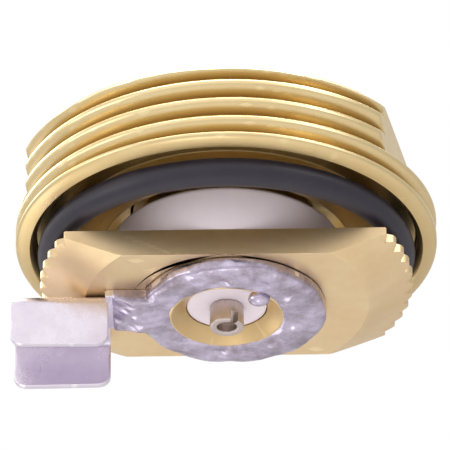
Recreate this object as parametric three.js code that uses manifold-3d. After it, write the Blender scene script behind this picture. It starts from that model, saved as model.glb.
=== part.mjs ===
// Vehicle-roof antenna mount with a screw-on ring nut. Millimetres, +Z up as installed.
// The origin is on the axis, in the plane of the ring nut's underside, which seals on the roof.
import * as THREE from "three";
import { mergeVertices } from "three/addons/utils/BufferGeometryUtils.js";
import Module from "manifold-3d";

const wasm = await Module();
wasm.setup();

const INCH = 25.4;
const TAU = 2 * Math.PI;

// ---- driving dimensions ----
// ring nut: the outer thread takes the antenna, the inner thread runs on the neck
const ringThreadRadius = (1.125 * INCH) / 2;
const ringPitch = INCH / 18;
const ringHeight = INCH / 4;
const ringTopChamfer = 0.85;
const ringLipHeight = 0.45;
const ringLipWidth = 0.94;
const ringThreadStart = 1.21;
const ringFlatDepth = 2.04;
const ringFlatsLedge = 2.4;
const ringFlatsTurn = THREE.MathUtils.degToRad(-11.8);
const ringWebHeight = 3.3;
const mouthChamfer = 0.25;
const plainLipShare = 0.6;

// seal, which hangs a little tilted in a groove under the ring
const sealSection = 1.92;
const sealTilt = THREE.MathUtils.degToRad(3.4);
const grooveDepth = 1.35;
const grooveLip = 0.42;
const ringLandRise = 0.16;

// base: toothed bar with a threaded neck
const neckThreadRadius = (0.5 * INCH) / 2;
const neckPitch = INCH / 24;
const neckSink = 1.05;
const neckTopChamfer = 0.5;
const barTop = -2.3;
const barThickness = 1.94;
const barHalfWidth = 6.67;
const toothTipRadius = 12.65;
const toothDepth = 0.42;
const toothGapShare = 0.84;
const toothPitchAngle = THREE.MathUtils.degToRad(6.4);
const toothCount = 10;
const barLand = 0.5;
const barChamferRun = 2.99;
const neckBoreRadius = 2.75;
const wellRadius = 4.6;
const wellDepth = 3.8;
const bossWall = 1.25;
const bossDrop = 0.92;
const bossRim = 0.28;
const bossMouthDepth = 0.75;

// collar round the neck, narrower at its foot
const collarWall = 1.5;
const collarFootWall = 0.27;
const collarTop = 0.5;

// insulators and centre contact
const topInsulatorHeight = 2.4;
const contactRadius = 2.4;
const contactRise = 0.5;
const contactSink = 0.6;
const pinRadius = 0.8;
const tailRadius = 1.15;
const tailLength = 1.56;
const tailBore = 0.62;
const tailBoreDepth = 0.7;
const tailSlot = 0.4;
const tailSlotTurn = THREE.MathUtils.degToRad(-72);

// solder lug with a cable clip
const lugThickness = 0.55;
const lugBand = 2.25;
const lugCentre = new THREE.Vector2(0.4, 0);
const armLeft = -7.95;
const armNear = -2.3;
const armFar = 1.9;
const clipLength = 6.55;
const clipNear = -1.9;
const clipInnerWidth = 5.35;
const clipSheet = 0.5;
const clipDepth = 3.35;
const clipCorner = 0.8;
const clipBend = 0.45;

// solder on the lug
const solderHeight = 0.5;
const solderShoulder = 0.32;
const solderEdge = 0.35;
const dropRadius = 0.62;
const dropOut = 0.28;
const dropTurn = THREE.MathUtils.degToRad(-49.7);

// ---- clearances ----
const threadClearance = 0.17;
const collarClearance = 0.5;
const sealClearance = 0.12;
const seatGap = 0.02;
const boreGap = 0.05;

// ---- shared finishing sizes ----
const threadDepthShare = 0.61;
const edgeBreak = 0.3;
const skin = 0.01;
const cutOver = 1;

// ---- meshing ----
const outerSegments = 64;
const innerSegments = 32;
const roundSegments = 40;

// ---- heights and radii that follow ----
const barBottom = barTop - barThickness;
const barFaceRadius = toothTipRadius - barChamferRun;
const ringMinorRadius = ringThreadRadius - threadDepthShare * ringPitch;
const ringFlatDistance = ringThreadRadius - ringFlatDepth;
const webBottom = ringHeight - ringWebHeight;
const lipInnerRadius = ringThreadRadius - ringLipWidth;
const neckMinorRadius = neckThreadRadius - threadDepthShare * neckPitch;
const neckTop = ringHeight - neckSink;
const wellFloor = neckTop - wellDepth;
const collarInnerRadius = neckThreadRadius + boreGap;
const collarRadius = collarInnerRadius + collarWall;
const collarFootRadius = collarInnerRadius + collarFootWall;
const counterboreRadius = collarRadius + collarClearance;
const grooveOuter = lipInnerRadius - grooveLip;
const sealRadius = grooveOuter - sealClearance - sealSection / 2;
const grooveInner = sealRadius - sealSection / 2 - sealClearance;
const sealHeight = grooveDepth - seatGap - sealSection / 2 - sealRadius * Math.sin(sealTilt);
const bossRadius = neckBoreRadius + bossWall;
const bossMouthRadius = bossRadius - bossRim;
const bossBottom = barBottom - bossDrop;
const lugBottom = barBottom - seatGap - lugThickness;
const lugHoleRadius = bossRadius + boreGap;
const lugOuterRadius = bossRadius + lugBand;
const solderTop = lugBottom - seatGap;
const solderBottom = solderTop - solderHeight;
const insulatorFace = bossBottom + bossMouthDepth;
const topInsulatorTop = wellFloor + topInsulatorHeight;
const contactFloor = topInsulatorTop - contactSink;

// ---- solids ----
function solid(geometry) {
  geometry.deleteAttribute("normal");
  geometry.deleteAttribute("uv");
  const merged = mergeVertices(geometry, 1e-4);
  return new wasm.Manifold(
    new wasm.Mesh({
      numProp: 3,
      vertProperties: merged.attributes.position.array,
      triVerts: new Uint32Array(merged.index.array),
    }),
  );
}

// Turns a closed profile of [radius, height] corners about the Z axis.
function turned(corners, segments = roundSegments) {
  const profile = corners.map(([r, z]) => new THREE.Vector2(r, z));
  const area = THREE.ShapeUtils.area(profile);
  if (area < 0) profile.reverse();
  const onAxis = profile.some((p) => p.x === 0);
  if (!onAxis) profile.push(profile[0].clone());
  if (onAxis) {
    while (profile[0].x !== 0 || profile.at(-1).x !== 0) profile.push(profile.shift());
  }
  return solid(new THREE.LatheGeometry(profile, segments).rotateX(Math.PI / 2));
}

function cylinder(radius, bottom, top, segments = roundSegments) {
  return turned([[0, bottom], [radius, bottom], [radius, top], [0, top]], segments);
}

// A flat shape in X and Y, raised from bottom to top.
function raised(shape, bottom, top, curveSegments = 8) {
  const geometry = new THREE.ExtrudeGeometry(shape, {
    depth: top - bottom,
    bevelEnabled: false,
    curveSegments,
  });
  return solid(geometry.translate(0, 0, bottom));
}

function block(x0, x1, y0, y1, z0, z1) {
  const box = new THREE.BoxGeometry(x1 - x0, y1 - y0, z1 - z0);
  return solid(box.translate((x0 + x1) / 2, (y0 + y1) / 2, (z0 + z1) / 2));
}

// A right-hand screw thread about the Z axis. Knots cross one pitch of the profile and each runs
// up its own helix; the last knot's strip meets the first knot one turn on. Both ends are fans.
function threadedRod(major, minor, pitch, bottom, top, segments, phase = 0) {
  const root = pitch / 6;
  const crest = pitch / 8;
  const flank = (pitch - root - crest) / 2;
  const knots = [[0, minor], [root, minor], [root + flank, major], [root + flank + crest, major]];
  const last = knots.length - 1;
  const columns = segments * (Math.ceil((top - bottom) / pitch) + 3);
  const start = bottom - 2 * pitch + phase;
  const positions = [];
  for (let column = 0; column <= columns; column += 1) {
    const angle = (column / segments) * TAU;
    const rise = start + (column / segments) * pitch;
    for (const [z, r] of knots) positions.push(r * Math.cos(angle), r * Math.sin(angle), rise + z);
  }
  const at = (knot, column) => column * knots.length + knot;
  const faces = [];
  const quad = (a, b, c, d) => faces.push(a, b, c, a, c, d);
  for (let column = 0; column < columns; column += 1) {
    for (let knot = 0; knot < last; knot += 1) {
      quad(at(knot, column), at(knot, column + 1), at(knot + 1, column + 1), at(knot + 1, column));
    }
    const over = column + segments;
    if (over < columns) quad(at(last, column), at(last, column + 1), at(0, over + 1), at(0, over));
  }
  const low = [];
  const high = [at(0, columns)];
  for (let column = 0; column <= segments; column += 1) {
    low.push(at(0, column));
    high.push(at(last, columns - segments + column));
  }
  for (let knot = last; knot > 0; knot -= 1) low.push(at(knot, 0));
  for (let knot = last - 1; knot > 0; knot -= 1) high.push(at(knot, columns));
  closeWithFan(positions, faces, low.reverse());
  closeWithFan(positions, faces, high);
  const vertProperties = new Float32Array(positions);
  const triVerts = new Uint32Array(faces);
  return new wasm.Manifold(new wasm.Mesh({ numProp: 3, vertProperties, triVerts }));
}

// Closes a loop of vertices with triangles to a point on the axis.
function closeWithFan(positions, faces, loop) {
  const centre = positions.length / 3;
  const height = loop.reduce((sum, v) => sum + positions[3 * v + 2], 0) / loop.length;
  positions.push(0, 0, height);
  loop.forEach((v, i) => faces.push(centre, v, loop[(i + 1) % loop.length]));
}

// ---- materials ----
const BRASS = { color: 0xd8b88e, roughness: 0.38, metalness: 1 };
const TIN = { color: 0xcfcbd6, roughness: 0.3, metalness: 1 };
const WHITE = { color: 0xf2eef2, roughness: 0.5, metalness: 0 };
const RUBBER = { color: 0x2a2830, roughness: 0.6, metalness: 0 };

const mount = new THREE.Group();

function add(name, made, look) {
  const result = made.getMesh();
  const geometry = new THREE.BufferGeometry();
  geometry.setAttribute("position", new THREE.BufferAttribute(result.vertProperties, 3));
  geometry.setIndex(new THREE.BufferAttribute(result.triVerts, 1));
  geometry.computeVertexNormals();
  const mesh = new THREE.Mesh(geometry, new THREE.MeshStandardMaterial(look));
  mesh.name = name;
  mount.add(mesh);
}

// ---- ring nut ----
function ringBlank() {
  const radius = ringThreadRadius + skin;
  return turned([
    [0, 0],
    [lipInnerRadius, 0],
    [radius, ringLipHeight],
    [radius, ringHeight - ringTopChamfer],
    [radius - ringTopChamfer, ringHeight],
    [0, ringHeight],
  ], outerSegments);
}

function ringNut() {
  const threaded = threadedRod(
    ringThreadRadius, ringMinorRadius, ringPitch, 0, ringHeight, outerSegments, ringThreadStart);
  const lipTop = ringThreadStart * plainLipShare;
  const plainLip = cylinder(ringThreadRadius, -cutOver, lipTop, outerSegments);
  const tap = threadedRod(
    neckThreadRadius + threadClearance, neckMinorRadius + threadClearance,
    neckPitch, webBottom, ringHeight, innerSegments);
  let ring = threaded
    .add(plainLip)
    .intersect(ringBlank())
    .subtract(tap)
    .subtract(cylinder(counterboreRadius, -cutOver, webBottom))
    .subtract(cylinder(grooveInner + skin, -cutOver, ringLandRise))
    .subtract(sealGroove())
    .subtract(threadMouth());
  const far = 2 * ringThreadRadius;
  for (const side of [0, Math.PI]) {
    const cutter = new THREE.BoxGeometry(far, 2 * far, far)
      .translate(ringFlatDistance + far / 2, 0, ringFlatsLedge + far / 2)
      .rotateZ(ringFlatsTurn + side);
    ring = ring.subtract(solid(cutter));
  }
  return ring;
}

// The groove's outer wall leans out to the lip.
function sealGroove() {
  return turned([
    [grooveInner, -skin],
    [lipInnerRadius, -skin],
    [grooveOuter, grooveLip],
    [grooveOuter, grooveDepth],
    [grooveInner, grooveDepth],
  ], outerSegments);
}

// A shallow cone that opens the top of the inner thread.
function threadMouth() {
  const radius = neckThreadRadius + threadClearance + mouthChamfer;
  return turned([
    [0, ringHeight - radius / 2],
    [radius, ringHeight],
    [radius, ringHeight + cutOver],
    [0, ringHeight + cutOver],
  ]);
}

// ---- seal ----
function sealRing() {
  const torus = new THREE.TorusGeometry(sealRadius, sealSection / 2, 12, roundSegments);
  return solid(torus.rotateX(sealTilt).translate(0, 0, sealHeight));
}

// ---- base: toothed bar, boss under it and threaded neck over it ----
function baseBody() {
  const bore = cylinder(neckBoreRadius, bossBottom - cutOver, neckTop + cutOver);
  const well = cylinder(wellRadius, wellFloor, neckTop + cutOver);
  const mouth = turned([
    [0, bossBottom - skin],
    [bossMouthRadius, bossBottom - skin],
    [neckBoreRadius, insulatorFace],
    [0, insulatorFace],
  ]);
  const boss = cylinder(bossRadius, bossBottom, barTop);
  return toothedBar().add(threadedNeck()).add(boss).subtract(bore).subtract(well).subtract(mouth);
}

function toothedBar() {
  const cone = turned([
    [0, barBottom],
    [barFaceRadius, barBottom],
    [toothTipRadius, barTop - barLand],
    [toothTipRadius, barTop],
    [0, barTop],
  ], outerSegments);
  const reach = toothTipRadius + cutOver;
  const width = block(
    -reach, reach, -barHalfWidth, barHalfWidth, barBottom - cutOver, barTop + cutOver);
  let bar = cone.intersect(width);
  for (let i = 0; i < 2 * toothCount; i += 1) {
    const end = i < toothCount ? 0 : Math.PI;
    const turn = end + ((i % toothCount) - (toothCount - 1) / 2) * toothPitchAngle;
    bar = bar.subtract(toothGap(turn));
  }
  return bar;
}

// A rounded gap between two teeth, cut down the bar's rim.
function toothGap(turn) {
  const radius = (toothGapShare * toothTipRadius * toothPitchAngle) / 2;
  const cutter = new THREE.CylinderGeometry(radius, radius, 2 * barThickness, 8)
    .rotateX(Math.PI / 2)
    .translate(toothTipRadius - toothDepth + radius, 0, barTop - barLand)
    .rotateZ(turn + toothPitchAngle / 2);
  return solid(cutter);
}

// The thread runs on the ring's own phase; below it the neck is plain.
function threadedNeck() {
  const root = barTop - barThickness / 2;
  const shoulder = neckTop - neckTopChamfer;
  const blank = turned([
    [0, root],
    [neckThreadRadius + skin, root],
    [neckThreadRadius + skin, shoulder],
    [neckMinorRadius, neckTop],
    [0, neckTop],
  ]);
  return threadedRod(
    neckThreadRadius, neckMinorRadius, neckPitch, webBottom, neckTop, innerSegments)
    .intersect(blank)
    .add(cylinder(neckMinorRadius, root, shoulder));
}

function neckCollar() {
  return turned([
    [collarInnerRadius, barTop + seatGap],
    [collarFootRadius, barTop + seatGap],
    [collarRadius, collarTop - edgeBreak],
    [collarRadius - edgeBreak, collarTop],
    [collarInnerRadius, collarTop],
  ]);
}

// ---- insulators ----
function topInsulator() {
  const outer = wellRadius - boreGap;
  const inner = pinRadius + boreGap;
  const recess = contactRadius + boreGap;
  return turned([
    [inner, wellFloor + seatGap],
    [outer, wellFloor + seatGap],
    [outer, topInsulatorTop - edgeBreak],
    [outer - edgeBreak, topInsulatorTop],
    [recess, topInsulatorTop],
    [recess, contactFloor],
    [inner, contactFloor],
  ]);
}

function lowerInsulator() {
  const outer = neckBoreRadius - boreGap;
  const inner = pinRadius + boreGap;
  return turned([
    [inner, insulatorFace],
    [outer, insulatorFace],
    [outer, wellFloor - seatGap],
    [inner, wellFloor - seatGap],
  ]);
}

// ---- centre contact: button on top, pin through both insulators, slotted solder cup below ----
function centreContact() {
  const buttonTop = topInsulatorTop + contactRise;
  const tailBottom = insulatorFace - seatGap - tailLength;
  const body = turned([
    [0, tailBottom],
    [tailRadius, tailBottom],
    [tailRadius, insulatorFace - seatGap],
    [pinRadius, insulatorFace - seatGap],
    [pinRadius, contactFloor + seatGap],
    [contactRadius, contactFloor + seatGap],
    [contactRadius, buttonTop - edgeBreak],
    [contactRadius - edgeBreak, buttonTop],
    [0, buttonTop],
  ], innerSegments);
  const cup = cylinder(tailBore, tailBottom - cutOver, tailBottom + tailBoreDepth, innerSegments);
  const slot = new THREE.BoxGeometry(2 * tailRadius, tailSlot, 2 * tailBoreDepth)
    .translate(tailRadius, 0, tailBottom)
    .rotateZ(tailSlotTurn);
  return body.subtract(cup).subtract(solid(slot));
}

// ---- solder lug: ring round the boss, arm, and a clip that opens downwards ----
function solderLug() {
  const top = barBottom - seatGap;
  const plate = new THREE.Shape();
  plate.absarc(lugCentre.x, lugCentre.y, lugOuterRadius, 0, TAU, false);
  const ring = raised(plate, lugBottom, top, 24);
  const arm = block(armLeft - clipSheet, lugCentre.x, armNear, armFar, lugBottom, top);
  const hole = cylinder(lugHoleRadius, lugBottom - cutOver, top + cutOver);
  return ring.add(arm).add(clip(top)).subtract(hole);
}

// The clip's section is a U in Y and Z, run along X, with its wings' free corners rounded.
function clip(top) {
  const near = clipNear;
  const far = near + clipInnerWidth + 2 * clipSheet;
  const low = top - clipDepth - clipSheet;
  const outer = new THREE.Shape();
  outer.moveTo(near, low);
  outer.lineTo(far, low);
  outer.lineTo(far, top - clipBend);
  outer.absarc(far - clipBend, top - clipBend, clipBend, 0, Math.PI / 2, false);
  outer.absarc(near + clipBend, top - clipBend, clipBend, Math.PI / 2, Math.PI, false);
  outer.closePath();
  const sectionToX = new THREE.Matrix4().makeBasis(
    new THREE.Vector3(0, 1, 0), new THREE.Vector3(0, 0, 1), new THREE.Vector3(1, 0, 0));
  const sheet = new THREE.ExtrudeGeometry(outer, {
    depth: clipLength,
    bevelEnabled: false,
    curveSegments: 5,
  });
  sheet.applyMatrix4(sectionToX).translate(armLeft - clipLength, 0, 0);
  const channel = block(
    armLeft - clipLength - cutOver, armLeft + cutOver,
    near + clipSheet, far - clipSheet, low - cutOver, top - clipSheet);
  return solid(sheet).subtract(channel).intersect(clipOutline(low, top, near, far));
}

function clipOutline(low, top, near, far) {
  const right = armLeft;
  const left = right - clipLength;
  const outline = new THREE.Shape();
  outline.moveTo(left, top + cutOver);
  outline.lineTo(left, low + clipCorner);
  outline.absarc(left + clipCorner, low + clipCorner, clipCorner, Math.PI, 1.5 * Math.PI, false);
  outline.absarc(right - clipCorner, low + clipCorner, clipCorner, 1.5 * Math.PI, TAU, false);
  outline.lineTo(right, top + cutOver);
  outline.closePath();
  const geometry = new THREE.ExtrudeGeometry(outline, {
    depth: far - near + 2 * cutOver,
    bevelEnabled: false,
    curveSegments: 5,
  });
  return solid(geometry.rotateX(Math.PI / 2).translate(0, far + cutOver, 0));
}

// ---- solder: a low collar over the lug's ring, with one drop on its inner edge ----
function solderFillet() {
  const outer = lugOuterRadius - solderEdge;
  const collar = new THREE.LatheGeometry([
    new THREE.Vector2(0, solderBottom),
    new THREE.Vector2(outer - solderShoulder, solderBottom),
    new THREE.Vector2(outer, solderTop),
    new THREE.Vector2(0, solderTop),
  ], roundSegments).rotateX(Math.PI / 2).translate(lugCentre.x, lugCentre.y, 0);
  const drop = new THREE.SphereGeometry(dropRadius, 16, 10)
    .translate(lugHoleRadius + dropOut, 0, solderBottom)
    .rotateZ(dropTurn);
  const reach = 2 * lugOuterRadius;
  const below = block(-reach, reach, -reach, reach, solderBottom - cutOver, solderTop);
  const hole = cylinder(lugHoleRadius, solderBottom - cutOver, solderTop + cutOver);
  return solid(collar).add(solid(drop).intersect(below)).subtract(hole);
}

add("base_body", baseBody(), BRASS);
add("neck_collar", neckCollar(), WHITE);
add("ring_nut", ringNut(), BRASS);
add("o_ring", sealRing(), RUBBER);
add("top_insulator", topInsulator(), WHITE);
add("lower_insulator", lowerInsulator(), WHITE);
add("centre_contact", centreContact(), TIN);
add("solder_lug", solderLug(), TIN);
add("solder_fillet", solderFillet(), TIN);

export default mount;
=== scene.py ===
# %% [markdown]
# # A vehicle-roof antenna mount in brass
# The mount is a toothed brass bar with a threaded neck, a ring nut that screws down on the neck,
# a rubber seal, white insulators, a centre contact and a tinned lug with a cable clip.
# The frame holds the sizes and the motion. Here each piece gets a fine surface and a finish.

# %% Load the frame
import math

import bpy
import numpy as np
from mathutils import Matrix, Vector


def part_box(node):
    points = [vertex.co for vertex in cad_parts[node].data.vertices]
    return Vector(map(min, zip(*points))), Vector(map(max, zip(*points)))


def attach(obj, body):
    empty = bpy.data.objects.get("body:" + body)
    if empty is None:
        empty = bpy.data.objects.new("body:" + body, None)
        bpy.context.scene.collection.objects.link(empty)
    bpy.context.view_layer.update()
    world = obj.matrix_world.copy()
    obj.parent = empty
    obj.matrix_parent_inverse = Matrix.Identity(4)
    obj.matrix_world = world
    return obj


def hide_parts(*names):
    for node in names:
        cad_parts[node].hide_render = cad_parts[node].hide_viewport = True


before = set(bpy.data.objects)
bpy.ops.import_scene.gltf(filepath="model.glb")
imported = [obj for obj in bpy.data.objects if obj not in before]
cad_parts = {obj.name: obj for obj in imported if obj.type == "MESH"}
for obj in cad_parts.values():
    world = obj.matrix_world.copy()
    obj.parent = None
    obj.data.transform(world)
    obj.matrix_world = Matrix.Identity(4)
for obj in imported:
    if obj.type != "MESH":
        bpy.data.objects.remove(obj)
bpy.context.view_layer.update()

MM = 0.001
TAU = 2 * math.pi

# %% [markdown]
# ## Helpers for surfaces
# Nearly every piece here is turned on a lathe, so its surface is a profile carried round the axis.
# A grid of points, one row for each profile point and one column for each angle, gives the mesh.
# Working the grid out as whole arrays is fast, and it keeps the faces even.

# %% Grid to mesh
def place(name, points, wrap_rows=True, wrap_columns=True, crease=32, hollow_shade=None):
    """A mesh object from a grid of points in mm with shape (rows, columns, 3).

    Neighbouring points make quads. The mean of outward flux over the faces gives the sign of the
    volume, and the faces are turned round where it is negative. The hollow shade mask is how deep
    each point lies in a groove or recess, from 0 to 1, and is kept as an attribute: the finish paints shade
    by it."""
    rows, columns = points.shape[:2]
    index = np.arange(rows * columns).reshape(rows, columns)
    right = np.roll(index, -1, axis=1)
    below = np.roll(index, -1, axis=0)
    corner = np.roll(right, -1, axis=0)
    quads = np.stack([index, right, corner, below], axis=-1)
    quads = quads[: rows if wrap_rows else rows - 1, : columns if wrap_columns else columns - 1]
    quads = quads.reshape(-1, 4)
    flat = points.reshape(-1, 3) * MM
    a, b, c, d = (flat[quads[:, i]] for i in range(4))
    volume = np.einsum("ij,ij->i", a + b + c + d, np.cross(c - a, d - b)).sum()
    if volume < 0:
        quads = quads[:, ::-1]
    mesh = bpy.data.meshes.new(name)
    mesh.vertices.add(len(flat))
    mesh.vertices.foreach_set("co", flat.ravel())
    mesh.loops.add(quads.size)
    mesh.loops.foreach_set("vertex_index", quads.ravel())
    mesh.polygons.add(len(quads))
    mesh.polygons.foreach_set("loop_start", np.arange(0, quads.size, 4))
    mesh.update(calc_edges=True)
    mesh.validate()
    # painted shade: the mask is kept as an attribute that darkens brass in grooves and recesses
    if hollow_shade is not None:
        mesh.attributes.new("hollow_shade", "FLOAT", "POINT").data.foreach_set("value", hollow_shade.ravel())
    mesh.shade_smooth()
    mesh.set_sharp_from_angle(angle=math.radians(crease))
    piece = bpy.data.objects.new(name, mesh)
    bpy.context.collection.objects.link(piece)
    print(name, len(quads), "faces, size mm", np.ptp(points.reshape(-1, 3), axis=0).round(2))
    return piece


def rounded(corners, arc=5):
    """A closed outline through corners of (across, up, radius), each radius a fillet.

    The fillet's centre lies on the corner's bisector, and its points are the circle's arc between
    the two tangent points."""
    points = np.array([c[:2] for c in corners], float)
    out = []
    for i, (_, _, radius) in enumerate(corners):
        here = points[i]
        back = points[i - 1] - here
        ahead = points[(i + 1) % len(points)] - here
        back_length, ahead_length = np.linalg.norm(back), np.linalg.norm(ahead)
        back, ahead = back / back_length, ahead / ahead_length
        half = math.acos(np.clip(back @ ahead, -1, 1)) / 2
        if radius <= 0 or half > math.pi / 2 - 0.02:
            out.append(here[None])
            continue
        run = min(radius / math.tan(half), 0.48 * back_length, 0.48 * ahead_length)
        radius = run * math.tan(half)
        middle = here + (back + ahead) / np.linalg.norm(back + ahead) * radius / math.sin(half)
        start, end = here + back * run - middle, here + ahead * run - middle
        t = np.linspace(0, 1, arc)[:, None]
        sweep = math.pi - 2 * half
        mix = (np.sin((1 - t) * sweep) * start + np.sin(t * sweep) * end) / math.sin(sweep)
        out.append(middle + mix)
    return np.concatenate(out)


def turned(name, corners, columns=192):
    """A lathe piece: the rounded outline's (radius, height) at every angle round the Z axis."""
    outline = rounded(corners)
    angle = np.linspace(0, TAU, columns, endpoint=False)
    radius, height = outline[:, :1], outline[:, 1:]
    points = np.stack([radius * np.cos(angle), radius * np.sin(angle), height + 0 * angle], axis=-1)
    return place(name, points)


def lumps(x, y, scale, seed, count=7):
    """Smooth unevenness: a sum of sine waves in seeded directions, between about -1 and 1."""
    rng = np.random.default_rng(seed)
    total = 0 * x
    for _ in range(count):
        direction = rng.uniform(0, TAU)
        rate = TAU / scale * rng.uniform(0.6, 1.6)
        phase = rng.uniform(0, TAU)
        total = total + np.sin(rate * (x * math.cos(direction) + y * math.sin(direction)) + phase)
    return total / math.sqrt(count)


def smooth_step(low, high, value):
    """0 below low, 1 above high, and an S curve between them."""
    t = np.clip((value - low) / (high - low), 0, 1)
    return t * t * (3 - 2 * t)

# %% [markdown]
# ## The ring nut
# The ring is turned brass with a coarse outer thread. A real thread is cut by a tool that moves
# one pitch a turn, so the radius depends on the angle and the height together. That is a function
# of two parameters, and it also takes the wrench flats: the radius is never more than the flat's.

# %% Ring nut sizes
_, ring_top_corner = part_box("ring_nut")
RING_TOP = ring_top_corner[2] / MM
THREAD_RADIUS = ring_top_corner[1] / MM
INCH = 25.4
RING_PITCH = INCH / 18
GROOVE_PHASE = 1 / 12
GROOVE_HALF = 0.45
GROOVE_POWER = 1.6
RING_GROOVE = 1.21 + RING_PITCH * GROOVE_PHASE
RING_MINOR = THREAD_RADIUS - 0.58 * RING_PITCH
LIP_INNER = THREAD_RADIUS - 0.94
LIP_HEIGHT = 0.45
LIP_POWER = 2.2
TOP_CHAMFER = 0.85
FLAT_DISTANCE = THREAD_RADIUS - 2.04
FLAT_TURN = math.radians(-11.8)
FLAT_LEDGE = 2.4
GROOVE_START = 0.5
NECK_PITCH = INCH / 24
NECK_DEPTH = 0.6 * NECK_PITCH
NECK_MAJOR = INCH / 4
NECK_MINOR = NECK_MAJOR - NECK_DEPTH
BORE_MAJOR = NECK_MAJOR + 0.17
BORE_MINOR = BORE_MAJOR - NECK_DEPTH
WEB_BOTTOM = RING_TOP - 3.3
NECK_GROOVE = WEB_BOTTOM + NECK_PITCH * GROOVE_PHASE
COUNTERBORE = 8.4
LAND_RISE = 0.16
GROOVE_OUTER = LIP_INNER - 0.42
GROOVE_INNER = 10.77
GROOVE_DEPTH = 1.35
print("ring nut:", round(2 * THREAD_RADIUS, 3), "mm over the thread,", round(RING_TOP, 2), "mm high")


# %% Ring nut surface
def screw_radius(angle, height, minor, major, pitch, start):
    """The radius of a thread: u is how far a point is from the groove's middle, in pitches. The
    depth left is a power of what remains of u, so grooves are narrow and crests are rounded."""
    turns = (height - start) / pitch - angle / TAU
    u = np.abs(turns - np.round(turns))
    return major - (major - minor) * (1 - np.clip(u / GROOVE_HALF, 0, 1)) ** GROOVE_POWER


def ring_nut():
    """Rows run up the outside, in over the top, down the bore's thread and counterbore, and out
    under the ring to the lip. Each row is a radius and a height at every angle. The mask for painted
    shade is the share of the thread's depth in the grooves, a share that fades up the lip, and a fixed share
    under the web."""
    angle = np.linspace(-math.pi, math.pi, 440, endpoint=False)
    one = np.ones_like(angle)
    flat = FLAT_DISTANCE / np.maximum(np.abs(np.cos(angle - FLAT_TURN)), 0.1)
    rows = []

    def outside(height):
        cut = screw_radius(angle, height, RING_MINOR, THREAD_RADIUS, RING_PITCH, RING_GROOVE)
        below = 1 - min(height / LIP_HEIGHT, 1)
        lip = THREAD_RADIUS - (THREAD_RADIUS - LIP_INNER) * below ** LIP_POWER
        top = THREAD_RADIUS - max(height - (RING_TOP - TOP_CHAMFER), 0)
        fade = smooth_step(GROOVE_START, GROOVE_START + 0.35, height)
        radius = np.minimum(THREAD_RADIUS + (cut - THREAD_RADIUS) * fade, min(lip, top))
        return np.minimum(radius, flat) if height > FLAT_LEDGE else radius

    heights = np.concatenate([
        np.linspace(0, LIP_HEIGHT, 10),
        np.linspace(LIP_HEIGHT + 0.045, FLAT_LEDGE - 0.005, 42),
        np.linspace(FLAT_LEDGE + 0.005, RING_TOP - 0.06, 82),
    ])
    rows += [(outside(h), h * one) for h in heights]
    edge = outside(RING_TOP - 0.06)
    rows.append((edge - 0.06, RING_TOP * one))
    mouth = BORE_MAJOR + 0.28
    for share in np.linspace(0.15, 1, 8):
        rows.append((edge + (mouth - edge) * share, RING_TOP * one))
    for height in np.linspace(RING_TOP - 0.05, WEB_BOTTOM + 0.02, 48):
        cut = screw_radius(angle, height, BORE_MINOR, BORE_MAJOR, NECK_PITCH, NECK_GROOVE)
        cone = mouth - (RING_TOP - height) * 0.8
        rows.append((np.maximum(cut, cone), height * one))
    rows.append((COUNTERBORE * one, WEB_BOTTOM * one))
    underside = rounded([
        (COUNTERBORE, WEB_BOTTOM - 0.1, 0), (COUNTERBORE, LAND_RISE, 0.2),
        (GROOVE_INNER, LAND_RISE, 0.08), (GROOVE_INNER, GROOVE_DEPTH, 0.1),
        (GROOVE_OUTER, GROOVE_DEPTH, 0.1), (GROOVE_OUTER, LIP_INNER - GROOVE_OUTER, 0.05),
        (LIP_INNER - 0.05, 0.02, 0), (LIP_INNER, WEB_BOTTOM, 0)])[:-1]
    rows += [(r * one, h * one) for r, h in underside]
    radius = np.array([r for r, _ in rows])
    height = np.array([h for _, h in rows])
    points = np.stack([radius * np.cos(angle), radius * np.sin(angle), height], axis=-1)
    # painted shade: darker in the thread's grooves, on the lip and under the web
    depth = np.clip((THREAD_RADIUS - radius) / (THREAD_RADIUS - RING_MINOR), 0, 1)
    threaded = (np.arange(len(rows)) < len(heights)) & (height[:, 0] > GROOVE_START)
    on_flat = (height > FLAT_LEDGE) & (radius > flat - 0.02)
    lip_shade = 0.6 * np.clip(1 - height / LIP_HEIGHT, 0, 1) ** 0.7
    under_web = (radius < LIP_INNER - 0.06) & (height < WEB_BOTTOM + 0.01)
    hollow_shade = depth * threaded[:, None] * ~on_flat + lip_shade * (radius > LIP_INNER - 0.06)
    hollow_shade = np.maximum(hollow_shade, 0.5 * under_web)
    return place("ring_nut_fine", points, crease=28, hollow_shade=hollow_shade)


ring = ring_nut()
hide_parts("ring_nut")
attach(ring, "ring")

# %% [markdown]
# ## The seal
# The seal is a moulded rubber ring. A torus is two circles carried round each other, and a mould
# leaves a faint line where its halves met, so the section's radius has a tiny ridge there.

# %% Seal surface
SEAL_SECTION = 1.92
SEAL_TILT = math.radians(3.4)


def seal():
    """A torus whose section radius gains a narrow ridge on its inner and outer middle, tilted
    about X: each point's height rises with its depth, by the tilt's sine."""
    low, high = (np.array(corner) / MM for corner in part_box("o_ring"))
    section = SEAL_SECTION / 2
    middle = high[0] - section
    around = np.linspace(0, TAU, 320, endpoint=False)
    across = np.linspace(0, TAU, 64, endpoint=False)[:, None]
    ridge = 0.012 * np.exp(-(np.sin(across) / 0.05) ** 2)
    wave = 0.012 * lumps(6 * np.cos(around), 6 * np.sin(around), 3.0, 5)
    size = section - 0.015 + ridge + 0 * around
    radius = middle + size * np.cos(across) + wave
    x, y, z = radius * np.cos(around), radius * np.sin(around), size * np.sin(across)
    deep = y * math.cos(SEAL_TILT) - z * math.sin(SEAL_TILT)
    tall = y * math.sin(SEAL_TILT) + z * math.cos(SEAL_TILT) + (low[2] + high[2]) / 2
    return place("seal_ring", np.stack([x, deep, tall], axis=-1))


seal_ring = seal()
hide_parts("o_ring")
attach(seal_ring, "seal")

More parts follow.
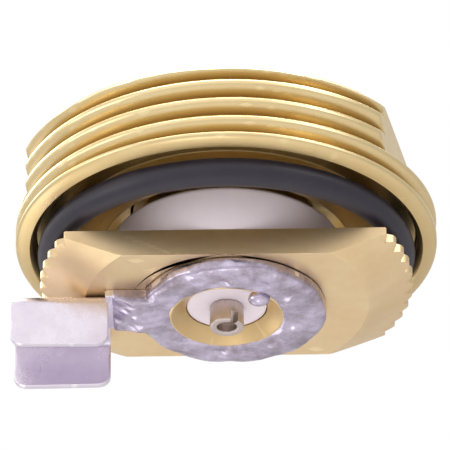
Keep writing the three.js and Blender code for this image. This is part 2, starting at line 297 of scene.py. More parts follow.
# %% [markdown]
# ## The base
# The bar is a round blank with a cone under it and two flats, and its ends have rounded teeth.
# Seen from the axis every direction meets the outside once, so the side is a radius that depends
# on angle and height: the least of the cone, the teeth and the flats. The columns are spread so
# that one of them follows each corner between a flat and the cone, which keeps that edge clean.

# %% Base sizes
base_low, base_high = (np.array(corner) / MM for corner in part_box("base_body"))
BAR_TOP = -2.3
BAR_BOTTOM = BAR_TOP - 1.94
BAR_HALF_WIDTH = 6.67
TOOTH_TIP = base_high[0]
TOOTH_DEPTH = 0.5
TOOTH_ANGLE = math.radians(6.4)
BAR_LAND = 0.5
FACE_RADIUS = 9.66
BOSS_RADIUS = 4.0
BOSS_BOTTOM = base_low[2]
BOSS_ROUND = 0.12
MOUTH_RADIUS = 3.72
MOUTH_TOP = BOSS_BOTTOM + 0.75
BUSH_RADIUS = 2.75
NECK_TOP = base_high[2]
WELL_RADIUS = 4.6
WELL_FLOOR = NECK_TOP - 3.8
print("bar:", round(2 * TOOTH_TIP, 2), "mm long,", round(2 * BAR_HALF_WIDTH, 2), "mm wide")


# %% Base surface
def spread_angles(radius, ends=150, sides=90):
    """Angles for one row: even steps over each toothed end and over each flat, and the corners
    between them lie where the circle of this radius meets the flats."""
    corner = math.asin(min(BAR_HALF_WIDTH / radius, 1))
    end = np.linspace(-corner, corner, ends, endpoint=False)
    side = np.linspace(corner, math.pi - corner, sides, endpoint=False)
    return np.concatenate([end, side, end + math.pi, side + math.pi])


def tooth_edge(angle):
    """Rounded teeth: the size of a cosine gives arches with sharp valleys between them."""
    from_end = (angle + math.pi / 2) % math.pi - math.pi / 2
    return TOOTH_TIP - TOOTH_DEPTH * (1 - np.abs(np.cos(math.pi * from_end / TOOTH_ANGLE)))


def base_body():
    """Rows run from the boss out over the lower face, up the side, in over the top, up the
    neck's thread, down into the well and out through the bore."""
    even = spread_angles(FACE_RADIUS)
    one = np.ones_like(even)
    rows = []

    def bar_row(limit, height):
        angle = spread_angles(limit)
        flat = BAR_HALF_WIDTH / np.maximum(np.abs(np.sin(angle)), 1e-6)
        rows.append((angle, np.minimum(np.minimum(tooth_edge(angle), limit), flat), height * one))

    def round_row(radius, height):
        rows.append((even, radius * one, height * one))

    for radius in np.linspace(BOSS_RADIUS + 0.02, BAR_HALF_WIDTH - 0.12, 16):
        round_row(radius, BAR_BOTTOM)
    for limit in np.linspace(BAR_HALF_WIDTH + 0.02, FACE_RADIUS - 0.06, 16):
        bar_row(limit, BAR_BOTTOM)
    bar_row(FACE_RADIUS + 0.03, BAR_BOTTOM + 0.03)
    for share in np.linspace(0.08, 1, 40):
        limit = FACE_RADIUS + (TOOTH_TIP - FACE_RADIUS) * share
        bar_row(limit, BAR_BOTTOM + (BAR_TOP - BAR_LAND - BAR_BOTTOM) * share)
    for height in np.linspace(BAR_TOP - BAR_LAND + 0.1, BAR_TOP - 0.04, 4):
        bar_row(TOOTH_TIP, height)
    bar_row(TOOTH_TIP - 0.04, BAR_TOP)
    bar_row(BAR_HALF_WIDTH + 2.0, BAR_TOP)
    bar_row(BAR_HALF_WIDTH + 0.05, BAR_TOP)
    round_row(NECK_MINOR, BAR_TOP)
    for height in np.linspace(BAR_TOP + 0.2, WEB_BOTTOM - 0.1, 6):
        round_row(NECK_MINOR, height)
    for height in np.linspace(WEB_BOTTOM, NECK_TOP - 0.02, 46):
        cut = screw_radius(even, height, NECK_MINOR, NECK_MAJOR, NECK_PITCH, NECK_GROOVE)
        cap = NECK_MINOR - 0.1 + (NECK_TOP - height) * 1.3
        rows.append((even, np.minimum(cut, cap), height * one))
    for radius in (NECK_MINOR - 0.2, 5.2, WELL_RADIUS + 0.2):
        round_row(radius, NECK_TOP)
    round_row(WELL_RADIUS, NECK_TOP - 0.2)
    for height in np.linspace(NECK_TOP - 0.6, WELL_FLOOR, 6):
        round_row(WELL_RADIUS, height)
    for height in np.linspace(WELL_FLOOR, MOUTH_TOP, 6):
        round_row(BUSH_RADIUS, height)
    for share in np.linspace(0.1, 1, 6):
        swell = 0.06 * math.sin(math.pi * share)
        round_row(BUSH_RADIUS + (MOUTH_RADIUS - BUSH_RADIUS) * share - swell,
                  MOUTH_TOP + (BOSS_BOTTOM - MOUTH_TOP) * share)
    round_row(MOUTH_RADIUS + 0.1, BOSS_BOTTOM)
    round_row(BOSS_RADIUS, BOSS_BOTTOM + BOSS_ROUND)
    angle, radius, height = (np.array(part) for part in zip(*rows))
    points = np.stack([radius * np.cos(angle), radius * np.sin(angle), height], axis=-1)
    # painted shade in the bore's mouth
    mouth = (radius < MOUTH_RADIUS + 0.05) & (height < MOUTH_TOP + 0.01)
    return place("base_fine", points, crease=18, hollow_shade=0.55 * mouth)


base = base_body()
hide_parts("base_body")
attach(base, "base")

# %% [markdown]
# ## White parts
# The collar and the two insulators are moulded or turned plastic. Their corners are never sharp,
# so each outline has small fillets, and the lathe helper carries the outline round.

# %% Collar and insulators
def node_span(node):
    """The lowest and highest height and the outer radius of a round CAD node, in mm."""
    low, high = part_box(node)
    return low[2] / MM, high[2] / MM, high[1] / MM


COLLAR_BORE = 6.4
PIN_HOLE = 0.85
BUTTON_POCKET = 2.47

low, high, outer = node_span("neck_collar")
collar = turned("collar", [
    (COLLAR_BORE, low, 0.1), (COLLAR_BORE + 0.27, low, 0.1), (outer, high - 0.2, 0.5),
    (outer - 0.5, high, 0.2), (COLLAR_BORE, high, 0.1)], columns=256)
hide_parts("neck_collar")

low, high, outer = node_span("top_insulator")
CONTACT_FLOOR = high - 0.6
top_disc = turned("contact_disc", [
    (PIN_HOLE, low, 0.05), (outer, low, 0.1), (outer, high, 0.25), (BUTTON_POCKET, high, 0.12),
    (BUTTON_POCKET, CONTACT_FLOOR, 0.05), (PIN_HOLE, CONTACT_FLOOR, 0.03)])
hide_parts("top_insulator")

low, high, outer = node_span("lower_insulator")
bush = turned("contact_bush", [
    (PIN_HOLE, low + 0.02, 0.04), (outer - 0.25, low, 0.1), (outer, low + 0.06, 0.1),
    (outer, high, 0.1), (PIN_HOLE, high, 0.05)])
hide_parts("lower_insulator")
for piece in (collar, top_disc, bush):
    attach(piece, "base")

# %% [markdown]
# ## The centre contact
# One turned pin carries the signal through the mount. Its lower end is a cup with a slot, where
# the cable's core is soldered. A cup with a slot is a wall whose outline is carried round part of
# a turn, so the slot is simply the angle that is left out, and each end of the wall is closed.

# %% Contact pin and cup
contact_low, contact_high, _ = node_span("centre_contact")
TAIL_RADIUS = 1.15
TAIL_BORE = 0.66
PIN_RADIUS = 0.8
BUTTON_RADIUS = 2.4
BUTTON_UNDER = CONTACT_FLOOR + 0.02
CUP_FLOOR = contact_low + 0.7
PIN_SHOULDER = MOUTH_TOP - 0.02

pin = turned("contact_pin", [
    (0.0, CUP_FLOOR, 0), (TAIL_RADIUS, CUP_FLOOR, 0.02), (TAIL_RADIUS, PIN_SHOULDER, 0.05),
    (PIN_RADIUS, PIN_SHOULDER, 0.02), (PIN_RADIUS, BUTTON_UNDER, 0.02),
    (BUTTON_RADIUS, BUTTON_UNDER, 0.1), (BUTTON_RADIUS, contact_high - 0.05, 0.3),
    (1.3, contact_high, 0.5), (0.0, contact_high, 0)], columns=128)


def slotted_cup():
    """The wall's outline, bore to outside, carried round from one side of the slot to the other.
    The first and last columns shrink to the outline's middle, which closes the wall's ends."""
    outline = rounded([
        (TAIL_BORE, CUP_FLOOR + 0.01, 0), (TAIL_RADIUS, CUP_FLOOR + 0.01, 0),
        (TAIL_RADIUS, contact_low, 0.1), (TAIL_BORE, contact_low, 0.12)])
    half_slot = 0.2 / ((TAIL_BORE + TAIL_RADIUS) / 2)
    slot_middle = math.radians(-62)
    angle = np.linspace(slot_middle + half_slot, slot_middle + TAU - half_slot, 90)
    angle = np.concatenate([angle[:1], angle, angle[-1:]])
    middle = outline.mean(axis=0)
    keep = np.ones(len(angle))
    keep[[0, -1]] = 0
    ring_of = middle + (outline[:, None, :] - middle) * keep[None, :, None]
    radius, height = ring_of[..., 0], ring_of[..., 1]
    points = np.stack([radius * np.cos(angle), radius * np.sin(angle), height], axis=-1)
    return place("contact_cup", points, wrap_columns=False)


cup = slotted_cup()
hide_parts("centre_contact")
for piece in (pin, cup):
    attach(piece, "base")

# %% [markdown]
# ## The solder lug
# The lug is stamped from one tinned sheet: a ring, an arm and a clip that is folded down into a U.
# Seen from the ring's middle the stamped outline is met once in each direction, so it is a radius
# by angle. The clip is a sheet that follows a U path, and Solidify gives it the sheet's thickness.

# %% Lug sizes
lug_low, lug_high = (np.array(corner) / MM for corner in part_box("solder_lug"))
LUG_CENTRE = (0.4, 0.0)
LUG_RADIUS = 6.25
LUG_SHEET = 0.55
LUG_TOP = lug_high[2]
LUG_BOTTOM = LUG_TOP - LUG_SHEET
ARM_LEFT = -7.95
ARM_NEAR = -2.3
ARM_FAR = 1.9
CLIP_SHEET = 0.5
CLIP_NEAR = -1.9
CLIP_FAR = CLIP_NEAR + 5.35 + 2 * CLIP_SHEET
WING_LEAN = math.radians(3)
CLIP_TIP = lug_low[2]
CLIP_LEFT = lug_low[0]


def lug_outline(angle, inset=0.0, reach=ARM_LEFT - 0.2):
    """Distance from the ring's middle to the stamped edge: the ring's radius, or the arm's sides
    and end where the arm sticks out further."""
    across, along = np.sin(angle), np.cos(angle)
    far, near = ARM_FAR - LUG_CENTRE[1] - inset, LUG_CENTRE[1] - ARM_NEAR - inset
    side = np.where(across > 0, far, near) / np.maximum(np.abs(across), 1e-4)
    end = (LUG_CENTRE[0] - reach) / np.maximum(-along, 1e-4)
    arm = np.where(along < 0, np.minimum(side, end), 0)
    ring_edge = LUG_RADIUS - inset
    return np.maximum(ring_edge, arm)


def from_lug_centre(radius, angle):
    """Distance in each direction from the ring's middle to a circle round the Z axis, which is
    where the line from the one meets the other."""
    toward = -LUG_CENTRE[0] * np.cos(angle) - LUG_CENTRE[1] * np.sin(angle)
    return toward + np.sqrt(radius ** 2 - (LUG_CENTRE[0] ** 2 + LUG_CENTRE[1] ** 2) + toward ** 2)


# %% Lug plate
def lug_plate():
    """Rows go from the hole out along the lower face, round the rolled edge and back on top."""
    angle = np.linspace(0, TAU, 480, endpoint=False)
    edge = lug_outline(angle)
    hole = from_lug_centre(BOSS_RADIUS + 0.03, angle)
    roll = 0.12
    rows = []
    for share in np.linspace(0, 1, 8):
        rows.append((hole + (edge - roll - hole) * share, LUG_BOTTOM))
    rows.append((edge - 0.03, LUG_BOTTOM + 0.4 * roll))
    rows.append((edge, LUG_BOTTOM + roll))
    rows.append((edge, LUG_TOP - roll))
    rows.append((edge - roll, LUG_TOP))
    rows.append((hole, LUG_TOP))
    radius = np.array([r for r, _ in rows])
    height = np.array([h for _, h in rows])[:, None] + 0 * angle
    points = np.stack([
        LUG_CENTRE[0] + radius * np.cos(angle), LUG_CENTRE[1] + radius * np.sin(angle), height], axis=-1)
    return place("lug_plate", points)


plate = lug_plate()


# %% Cable clip
def cable_clip():
    """A sheet's middle surface: a U path in Y and Z from one wing's tip to the other's, carried
    along X. Near each tip the sheet narrows by the corner's circle."""
    half = CLIP_SHEET / 2
    near, far = CLIP_NEAR + half, CLIP_FAR - half
    top = LUG_TOP - half
    bend = 0.5
    tip = CLIP_TIP + half * 0.2
    turn = np.linspace(0, math.pi / 2, 9)
    down = np.linspace(tip, top - bend, 26)[:-1]
    floor = np.linspace(near + bend, far - bend, 14)[1:-1]
    y = np.concatenate([near + 0 * down, near + bend - bend * np.cos(turn), floor,
                        far - bend + bend * np.sin(turn), far + 0 * down])
    z = np.concatenate([down, top - bend + bend * np.sin(turn), top + 0 * floor,
                        top - bend + bend * np.cos(turn), down[::-1]])
    corner = 0.8
    depth = np.clip(z - tip, 0, corner)
    pull = corner - np.sqrt(corner ** 2 - (corner - depth) ** 2)
    share = np.linspace(0, 1, 40)[None, :]
    left, right = CLIP_LEFT + pull[:, None], ARM_LEFT - pull[:, None]
    x = left + (right - left) * share
    wing = smooth_step(0, 3, top - z)[:, None]
    side = np.where(y < (near + far) / 2, -1, 1)[:, None]
    warp = 0.05 * wing * lumps(x, z[:, None] + 0 * x, 7.0, 12)
    lean = math.tan(WING_LEAN) * np.clip(top - bend - z, 0, None)[:, None]
    points = np.stack([x, y[:, None] + side * (warp - lean), z[:, None] + 0 * x], axis=-1)
    clip = place("cable_clip", points, wrap_rows=False, wrap_columns=False)
    sheet = clip.modifiers.new("sheet", "SOLIDIFY")
    sheet.thickness = CLIP_SHEET * MM
    sheet.offset = 0
    edges = clip.modifiers.new("stamped edge", "BEVEL")
    edges.width = 0.1 * MM
    edges.segments = 3
    edges.limit_method = "ANGLE"
    edges.angle_limit = math.radians(50)
    return clip


clip = cable_clip()
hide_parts("solder_lug")
for piece in (plate, clip):
    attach(piece, "base")

# %% [markdown]
# ## Solder
# Solder runs over the lug's ring and along its arm and freezes in lumps. It has no outline of its
# own, so it follows the lug's, and its height is a smooth uneven function. One bead has frozen on
# the boss's rim.

# %% Solder surface
BEAD_PLACE = (2.2, -2.5, BOSS_BOTTOM - 0.06)
BEAD_SIZE = (0.74, 0.6, 0.52)


def solder():
    """Height of the solder by place: a rounded band from inside the boss's rim to the lug's edge,
    times lumps. It rests on the boss's rim inside and on the lug outside, and thins along the arm."""
    angle = np.linspace(0, TAU, 480, endpoint=False)
    edge = lug_outline(angle, inset=-0.04, reach=ARM_LEFT + 0.3)
    edge = edge + 0.05 * lumps(6 * np.cos(angle), 6 * np.sin(angle), 3.5, 3)
    hole_radius = MOUTH_RADIUS + 0.02 + 0.06 * lumps(4 * np.cos(angle), 4 * np.sin(angle), 3.0, 8)
    hole = from_lug_centre(hole_radius, angle)
    share = np.linspace(0, 1, 48)[:, None]
    radius = hole + (edge - hole) * share
    x = LUG_CENTRE[0] + radius * np.cos(angle)
    y = LUG_CENTRE[1] + radius * np.sin(angle)
    on_boss = 1 - smooth_step(BOSS_RADIUS, BOSS_RADIUS + 0.7, np.hypot(x, y))
    seat = LUG_BOTTOM + 0.02 + (BOSS_BOTTOM + BOSS_ROUND - LUG_BOTTOM) * on_boss
    tall = 0.5 - 0.2 * smooth_step(5.6, 7.5, -x) - 0.2 * on_boss
    dome = np.clip(4 * share * (1 - share), 0.004, 1) ** 0.34
    swell = 1 + 0.2 * lumps(x, y, 2.6, 21) + 0.05 * lumps(x, y, 1.1, 22)
    under = seat - tall * dome * np.clip(swell, 0.45, 1.1)
    bottom = np.stack([x, y, under], axis=-1)
    roof = np.stack([x, y, LUG_TOP - 0.05 + 0 * x], axis=-1)[::-1]
    return place("solder", np.concatenate([bottom, roof]), crease=60)


def bead():
    """An egg shape: a unit sphere's points times three half lengths, moved to the boss's rim."""
    along = np.linspace(0.001, math.pi - 0.001, 24)[:, None]
    around = np.linspace(0, TAU, 40, endpoint=False)
    sphere = np.stack([
        np.sin(along) * np.cos(around), np.sin(along) * np.sin(around), np.cos(along) + 0 * around], axis=-1)
    return place("solder_bead", np.array(BEAD_PLACE) + sphere * np.array(BEAD_SIZE), wrap_rows=False)


solder_piece = solder()
solder_bead = bead()
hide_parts("solder_fillet")
for piece in (solder_piece, solder_bead):
    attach(piece, "base")

# %% [markdown]
# ## Finishes
# Three effects are shared: fine turning marks left by the tool on brass and plastic, soft stains
# from handling on everything, and paler edges where brass and tin are worn. Each is a node group
# with named inputs, built once and placed in the materials that need it with their own values.

# %% Node helpers
def new_group(name, inputs, outputs):
    """A shader node group with float inputs of (name, start value) and named outputs."""
    group = bpy.data.node_groups.new(name, "ShaderNodeTree")
    for label, value in inputs:
        socket = group.interface.new_socket(name=label, in_out="INPUT", socket_type="NodeSocketFloat")
        socket.default_value = value
    for label in outputs:
        group.interface.new_socket(name=label, in_out="OUTPUT", socket_type="NodeSocketFloat")
    return group, group.nodes.new("NodeGroupInput"), group.nodes.new("NodeGroupOutput")


def add_node(tree, kind, **settings):
    """A node of this kind: settings that name a socket set its value, and others set the node."""
    node = tree.nodes.new(kind)
    for label, value in settings.items():
        key = label.replace("_", " ").title()
        if key in node.inputs:
            node.inputs[key].default_value = value
        else:
            setattr(node, label, value)
    return node


def math_node(tree, operation, first, second):
    """A Math node on two values, each a socket or a number."""
    node = tree.nodes.new("ShaderNodeMath")
    node.operation = operation
    for slot_number, value in enumerate((first, second)):
        if isinstance(value, (int, float)):
            node.inputs[slot_number].default_value = value
        else:
            tree.links.new(value, node.inputs[slot_number])
    return node.outputs[0]


# %% Stain group
def stain_group():
    """Two sizes of noise on Object coordinates, added and stretched to a mask from 0 to 1."""
    group, given, result = new_group("Handling stains", [("Size per m", 300.0), ("Spread", 0.5)], ["Mask"])
    place_node = group.nodes.new("ShaderNodeTexCoord")
    large = add_node(group, "ShaderNodeTexNoise", detail=4.0, roughness=0.6)
    small = add_node(group, "ShaderNodeTexNoise", detail=3.0, roughness=0.65)
    group.links.new(place_node.outputs["Object"], large.inputs["Vector"])
    group.links.new(place_node.outputs["Object"], small.inputs["Vector"])
    group.links.new(given.outputs["Size per m"], large.inputs["Scale"])
    finer = math_node(group, "MULTIPLY", given.outputs["Size per m"], 4.3)
    group.links.new(finer, small.inputs["Scale"])
    lesser = math_node(group, "MULTIPLY", small.outputs["Fac"], 0.4)
    both = math_node(group, "ADD", large.outputs["Fac"], lesser)
    centred = math_node(group, "SUBTRACT", both, 0.7)
    spread = math_node(group, "DIVIDE", centred, given.outputs["Spread"])
    shifted = math_node(group, "ADD", spread, 0.5)
    limited = group.nodes.new("ShaderNodeClamp")
    group.links.new(shifted, limited.inputs["Value"])
    group.links.new(limited.outputs[0], result.inputs["Mask"])
    return group


# %% Turning marks group
def turning_group():
    """Fine rings about the Z axis: noise read by distance from the axis and by height, each at a
    very high rate, so that it varies across the tool's path and hardly at all along it."""
    group, given, result = new_group("Turning marks", [("Rings per m", 9000.0)], ["Height", "Shade"])
    where = group.nodes.new("ShaderNodeTexCoord")
    split = group.nodes.new("ShaderNodeSeparateXYZ")
    group.links.new(where.outputs["Object"], split.inputs[0])
    flat = group.nodes.new("ShaderNodeCombineXYZ")
    group.links.new(split.outputs["X"], flat.inputs["X"])
    group.links.new(split.outputs["Y"], flat.inputs["Y"])
    length = group.nodes.new("ShaderNodeVectorMath")
    length.operation = "LENGTH"
    group.links.new(flat.outputs[0], length.inputs[0])
    climb = math_node(group, "MULTIPLY", split.outputs["Z"], 1.7)
    across = math_node(group, "ADD", length.outputs["Value"], climb)
    rings = math_node(group, "MULTIPLY", across, given.outputs["Rings per m"])
    drift = group.nodes.new("ShaderNodeCombineXYZ")
    group.links.new(rings, drift.inputs["X"])
    for axis, target in (("X", "Y"), ("Y", "Z")):
        slow = math_node(group, "MULTIPLY", split.outputs[axis], 60.0)
        group.links.new(slow, drift.inputs[target])
    noise = add_node(group, "ShaderNodeTexNoise", scale=1.0, detail=3.0, roughness=0.55)
    group.links.new(drift.outputs[0], noise.inputs["Vector"])
    group.links.new(noise.outputs["Fac"], result.inputs["Height"])
    coarse = group.nodes.new("ShaderNodeMapRange")
    coarse.inputs["From Min"].default_value = 0.3
    coarse.inputs["From Max"].default_value = 0.7
    group.links.new(noise.outputs["Fac"], coarse.inputs["Value"])
    group.links.new(coarse.outputs["Result"], result.inputs["Shade"])
    return group


# %% Edge wear group
def wear_group():
    """Where the surface bends sharply outwards: Geometry's Pointiness stretched to a mask, broken
    up by a fine noise so that the worn line is uneven."""
    group, given, result = new_group("Edge wear", [("Start", 0.52), ("End", 0.6)], ["Mask"])
    shape = group.nodes.new("ShaderNodeNewGeometry")
    where = group.nodes.new("ShaderNodeTexCoord")
    noise = add_node(group, "ShaderNodeTexNoise", scale=1500.0, detail=2.0)
    group.links.new(where.outputs["Object"], noise.inputs["Vector"])
    uneven = math_node(group, "MULTIPLY", math_node(group, "SUBTRACT", noise.outputs["Fac"], 0.5), 0.08)
    bent = math_node(group, "ADD", shape.outputs["Pointiness"], uneven)
    mask = group.nodes.new("ShaderNodeMapRange")
    group.links.new(bent, mask.inputs["Value"])
    group.links.new(given.outputs["Start"], mask.inputs["From Min"])
    group.links.new(given.outputs["End"], mask.inputs["From Max"])
    group.links.new(mask.outputs["Result"], result.inputs["Mask"])
    return group


STAINS, TURNING, WEAR = stain_group(), turning_group(), wear_group()


# %% Material helper
class Finish:
    """One material and its Principled shader, with short ways to add effects and blend them."""

    def __init__(self, name, metallic, roughness):
        self.material = bpy.data.materials.new(name)
        self.material.use_nodes = True
        self.tree = self.material.node_tree
        self.shader = self.tree.nodes["Principled BSDF"]
        self.shader.inputs["Metallic"].default_value = metallic
        self.shader.inputs["Roughness"].default_value = roughness

    def effect(self, group, **values):
        """Places a shared group; each value names its input with underscores for spaces."""
        node = self.tree.nodes.new("ShaderNodeGroup")
        node.node_tree = group
        for label, value in values.items():
            node.inputs[label.replace("_", " ")].default_value = value
        return node

    def blend(self, mask, first, second):
        """A colour between first and second by mask; each is a colour or a socket."""
        mix = self.tree.nodes.new("ShaderNodeMix")
        mix.data_type = "RGBA"
        self.tree.links.new(mask, mix.inputs["Factor"])
        for socket, value in ((mix.inputs[6], first), (mix.inputs[7], second)):
            if isinstance(value, tuple):
                socket.default_value = (*value, 1)
            else:
                self.tree.links.new(value, socket)
        return mix.outputs[2]

    def colour(self, socket):
        self.tree.links.new(socket, self.shader.inputs["Base Color"])

    def rough(self, mask, low, high):
        """Roughness between low and high by a mask."""
        span = self.tree.nodes.new("ShaderNodeMapRange")
        span.inputs["To Min"].default_value = low
        span.inputs["To Max"].default_value = high
        self.tree.links.new(mask, span.inputs["Value"])
        self.tree.links.new(span.outputs["Result"], self.shader.inputs["Roughness"])

    def bump(self, height, distance, strength=1.0):
        node = self.tree.nodes.new("ShaderNodeBump")
        node.inputs["Distance"].default_value = distance
        node.inputs["Strength"].default_value = strength
        self.tree.links.new(height, node.inputs["Height"])
        self.tree.links.new(node.outputs["Normal"], self.shader.inputs["Normal"])

    def noise(self, scale, detail=3.0, roughness=0.5):
        node = add_node(self.tree, "ShaderNodeTexNoise", scale=scale, detail=detail, roughness=roughness)
        where = self.tree.nodes.new("ShaderNodeTexCoord")
        self.tree.links.new(where.outputs["Object"], node.inputs["Vector"])
        return node.outputs["Fac"]

    def dress(self, *pieces):
        for piece in pieces:
            piece.data.materials.clear()
            piece.data.materials.append(self.material)


# %% [markdown]
# ## Brass
# Machined brass is a warm yellow metal. Its colour comes from what it reflects, so the roughness
# and the turning marks matter more than the tint. The body has a duller, pinker skin than the
# ring, which is cut more brightly, so they are two materials made by one function. Where a point
# is marked with hollow shade the skin blends to a deep brown: this is painted shade, standing in
# for the dimmer light that reaches the thread's grooves, the lip, the underside of the web and the
# bore's mouth only by way of brass.

# %% Brass
# the deep brown of the painted shade in grooves and recesses
HOLLOW_SHADE_BRASS = (0.48, 0.32, 0.12)


def brass(name, bright, stained, low, high, rings, marks_height):
    """Stains, worn edges and painted shade in the hollows set the colour, stains and turning marks the
    roughness between low and high, and the marks the bump."""
    finish = Finish(name, metallic=1.0, roughness=0.35)
    stains = finish.effect(STAINS, Size_per_m=260.0, Spread=0.55)
    marks = finish.effect(TURNING, Rings_per_m=rings)
    worn = finish.effect(WEAR)
    skin = finish.blend(stains.outputs["Mask"], bright, stained)
    pale = tuple(min(1.0, 1.1 * part) for part in bright)
    skin = finish.blend(worn.outputs["Mask"], skin, pale)
    # painted shade: the attribute darkens the skin to a deep brown in grooves, on the lip, under the web and
    # in the bore's mouth
    hollow_shade = add_node(finish.tree, "ShaderNodeAttribute", attribute_name="hollow_shade")
    finish.colour(finish.blend(hollow_shade.outputs["Fac"], skin, HOLLOW_SHADE_BRASS))
    marked = math_node(finish.tree, "MULTIPLY", marks.outputs["Shade"], 0.5)
    stained_part = math_node(finish.tree, "MULTIPLY", stains.outputs["Mask"], 0.5)
    finish.rough(math_node(finish.tree, "ADD", marked, stained_part), low, high)
    finish.bump(marks.outputs["Height"], marks_height * MM)
    return finish


ring_brass = brass("ring brass", (0.92, 0.77, 0.44), (0.86, 0.68, 0.35), 0.24, 0.38, 8000.0, 0.004)
ring_brass.dress(ring)
body_brass = brass("body brass", (0.87, 0.69, 0.42), (0.78, 0.58, 0.32), 0.3, 0.42, 6000.0, 0.0015)
body_brass.dress(base)

# %% [markdown]
# ## Rubber, plastic, tin and solder
# The seal is satin rubber with a dusting of talc. The collar is slightly cloudy white plastic,
# where a little light passes under the skin. Tin plate is bright and almost smooth, and solder is
# the same metal frozen in lumps, with a grey skin and darker patches of flux here and there.

# %% Rubber and plastic
rubber = Finish("seal rubber", metallic=0.0, roughness=0.42)
dust = rubber.effect(STAINS, Size_per_m=500.0, Spread=0.7)
rubber.colour(rubber.blend(dust.outputs["Mask"], (0.014, 0.012, 0.022), (0.028, 0.024, 0.038)))
rubber.rough(dust.outputs["Mask"], 0.36, 0.55)
rubber.bump(rubber.noise(6000.0, 4.0, 0.6), 0.01 * MM, 0.5)
rubber.dress(seal_ring)

plastic = Finish("white plastic", metallic=0.0, roughness=0.4)
plastic.shader.inputs["Subsurface Weight"].default_value = 0.15
plastic.shader.inputs["Subsurface Radius"].default_value = (1, 0.9, 0.9)
plastic.shader.inputs["Subsurface Scale"].default_value = 0.6 * MM
cloud = plastic.effect(STAINS, Size_per_m=350.0, Spread=0.8)
plastic.colour(plastic.blend(cloud.outputs["Mask"], (0.94, 0.86, 0.92), (0.87, 0.78, 0.84)))
plastic.rough(cloud.outputs["Mask"], 0.34, 0.5)
plastic_marks = plastic.effect(TURNING, Rings_per_m=5000.0)
plastic.bump(plastic_marks.outputs["Height"], 0.004 * MM)
plastic.dress(collar, top_disc, bush)

# %% Tin and solder
tin = Finish("tin plate", metallic=1.0, roughness=0.25)
tin_stains = tin.effect(STAINS, Size_per_m=420.0, Spread=0.6)
tin_worn = tin.effect(WEAR)
tin_skin = tin.blend(tin_stains.outputs["Mask"], (0.90, 0.85, 0.93), (0.78, 0.72, 0.83))
tin.colour(tin.blend(tin_worn.outputs["Mask"], tin_skin, (0.95, 0.93, 0.96)))
tin.rough(tin_stains.outputs["Mask"], 0.2, 0.38)
tin.bump(tin.noise(900.0, 4.0, 0.6), 0.03 * MM, 0.5)
tin.dress(plate, clip)

contact_metal = Finish("contact metal", metallic=1.0, roughness=0.35)
contact_stains = contact_metal.effect(STAINS, Size_per_m=600.0, Spread=0.6)
contact_metal.colour(
    contact_metal.blend(contact_stains.outputs["Mask"], (0.66, 0.58, 0.55), (0.50, 0.43, 0.38)))
contact_metal.rough(contact_stains.outputs["Mask"], 0.28, 0.45)
contact_metal.dress(pin, cup)

solder_skin = Finish("solder", metallic=1.0, roughness=0.3)
solder_stains = solder_skin.effect(STAINS, Size_per_m=420.0, Spread=0.35)
solder_skin.colour(solder_skin.blend(solder_stains.outputs["Mask"], (0.67, 0.61, 0.77), (0.34, 0.29, 0.34)))
solder_skin.rough(solder_stains.outputs["Mask"], 0.15, 0.38)
solder_skin.bump(solder_skin.noise(650.0, 2.0, 0.45), 0.2 * MM, 0.7)
solder_skin.dress(solder_piece, solder_bead)

# %% [markdown]
# ## Stage
# The mount hangs in a roof, and is seen from below, so the floor lies far under it and reflects
# light up. Metal shows its surroundings, so the lights are large and soft, and they are placed
# where the bright and dark bands should fall. Lights are hidden from the camera.

# %% Floor and world
def floor_grid():
    """A flat square of points at one height."""
    span = np.linspace(-2500, 2500, 9)
    x, y = np.meshgrid(span, span)
    return np.stack([x, y, -600 + 0 * x], axis=-1)


floor = place("floor", floor_grid(), wrap_rows=False, wrap_columns=False)
floor_finish = Finish("pale floor", metallic=0.0, roughness=0.7)
floor_shade = floor_finish.noise(3.0)
floor_finish.colour(floor_finish.blend(floor_shade, (0.86, 0.85, 0.85), (0.9, 0.89, 0.89)))
floor_finish.dress(floor)

WINDOW_DIRECTION = (0, -0.854, 0.52)
SURROUND = 0.66
WINDOW = 0.95
LEFT_GAIN = 1.3
RIGHT_GAIN = 0.85


def studio_world():
    """A bright surround that is brightest above and in front, and brighter on the left than on
    the right. The camera sees plain white."""
    world = bpy.data.worlds.new("studio")
    bpy.context.scene.world = world
    world.use_nodes = True
    sky = world.node_tree
    direction = sky.nodes.new("ShaderNodeTexCoord")
    window = sky.nodes.new("ShaderNodeVectorMath")
    window.operation = "DOT_PRODUCT"
    window.inputs[1].default_value = WINDOW_DIRECTION
    sky.links.new(direction.outputs["Generated"], window.inputs[0])
    glow = sky.nodes.new("ShaderNodeMapRange")
    glow.interpolation_type = "SMOOTHSTEP"
    for label, value in (("From Min", 0.4), ("From Max", 0.97), ("To Min", SURROUND), ("To Max", WINDOW)):
        glow.inputs[label].default_value = value
    sky.links.new(window.outputs["Value"], glow.inputs["Value"])
    split = sky.nodes.new("ShaderNodeSeparateXYZ")
    sky.links.new(direction.outputs["Generated"], split.inputs[0])
    sides = sky.nodes.new("ShaderNodeMapRange")
    for label, value in (("From Min", -1), ("From Max", 1), ("To Min", LEFT_GAIN), ("To Max", RIGHT_GAIN)):
        sides.inputs[label].default_value = value
    sky.links.new(split.outputs["X"], sides.inputs["Value"])
    strength = math_node(sky, "MULTIPLY", glow.outputs["Result"], sides.outputs["Result"])
    ambient = sky.nodes["Background"]
    ambient.inputs["Color"].default_value = (1.0, 0.97, 0.98, 1)
    sky.links.new(strength, ambient.inputs["Strength"])
    backdrop = sky.nodes.new("ShaderNodeBackground")
    backdrop.inputs["Color"].default_value = (1, 1, 1, 1)
    path = sky.nodes.new("ShaderNodeLightPath")
    choose = sky.nodes.new("ShaderNodeMixShader")
    sky.links.new(path.outputs["Is Camera Ray"], choose.inputs[0])
    sky.links.new(ambient.outputs[0], choose.inputs[1])
    sky.links.new(backdrop.outputs[0], choose.inputs[2])
    sky.links.new(choose.outputs[0], sky.nodes["World Output"].inputs["Surface"])


studio_world()
bpy.context.scene.view_settings.view_transform = "Standard"


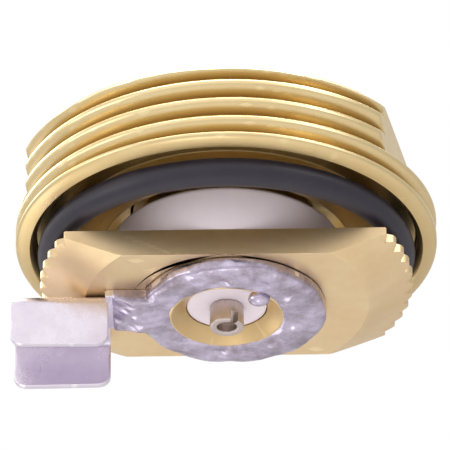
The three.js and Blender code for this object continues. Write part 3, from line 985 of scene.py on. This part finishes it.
# %% Lights
def softbox(name, place_mm, size_mm, power, tint=(1, 1, 1)):
    """A round soft light at a place, turned to face the mount."""
    lamp = bpy.data.lights.new(name, "AREA")
    lamp.shape = "DISK"
    lamp.size = size_mm * MM
    lamp.energy = power
    lamp.color = tint
    light = bpy.data.objects.new(name, lamp)
    light.location = Vector(place_mm) * MM
    light.rotation_euler = (-Vector(place_mm)).to_track_quat("-Z", "Y").to_euler()
    light.visible_camera = False
    bpy.context.collection.objects.link(light)


softbox("left fill", (-420, -180, -60), 260, 0.35, (1, 0.99, 0.95))
softbox("behind left", (-216, 280, -270), 240, 0.14, (1, 0.99, 0.97))
softbox("below", (-60, -40, -450), 160, 0.06, (1, 0.99, 1))
softbox("left high", (-345, 200, 300), 300, 0.65, (1, 0.99, 0.97))
softbox("right high", (300, -260, 250), 220, 0.3, (1, 0.99, 0.97))
softbox("top", (0, 60, 450), 400, 3.0)

# %% [markdown]
# ## Camera
# The view is from below and in front with a long lens, so that near and far parts keep nearly the
# same scale. The camera's axes come from its elevation and roll, and its aim is a little off the
# origin, which centres the mount in the picture.

# %% Camera
ELEVATION = math.radians(31.353)
ROLL = math.radians(-0.428)
TURN = math.radians(0.593)
DISTANCE = 408.5
SENSOR = 36.0
LENS = 481.66
AIM_RIGHT = -0.0002224
AIM_UP = 0.0044645


def make_camera():
    """Forward, up and right from the elevation and roll, turned about Z, then a small aim change."""
    turn = Matrix.Rotation(TURN, 3, "Z")
    forward = turn @ Vector((0, math.cos(ELEVATION), math.sin(ELEVATION)))
    level_up = turn @ Vector((0, -math.sin(ELEVATION), math.cos(ELEVATION)))
    level_right = forward.cross(level_up)
    right = level_right * math.cos(ROLL) + level_up * math.sin(ROLL)
    up = level_up * math.cos(ROLL) - level_right * math.sin(ROLL)
    aim = (forward + right * AIM_RIGHT + up * AIM_UP).normalized()
    right = aim.cross(up).normalized()
    up = right.cross(aim)
    data = bpy.data.cameras.new("camera")
    data.sensor_width = SENSOR
    data.lens = LENS
    data.clip_start, data.clip_end = 0.01, 20
    camera = bpy.data.objects.new("camera", data)
    rotation = Matrix((right, up, -aim)).transposed().to_4x4()
    camera.matrix_world = Matrix.Translation(-forward * DISTANCE * MM) @ rotation
    bpy.context.collection.objects.link(camera)
    bpy.context.scene.camera = camera
    print("camera lens", round(data.lens, 1), "mm")


make_camera()
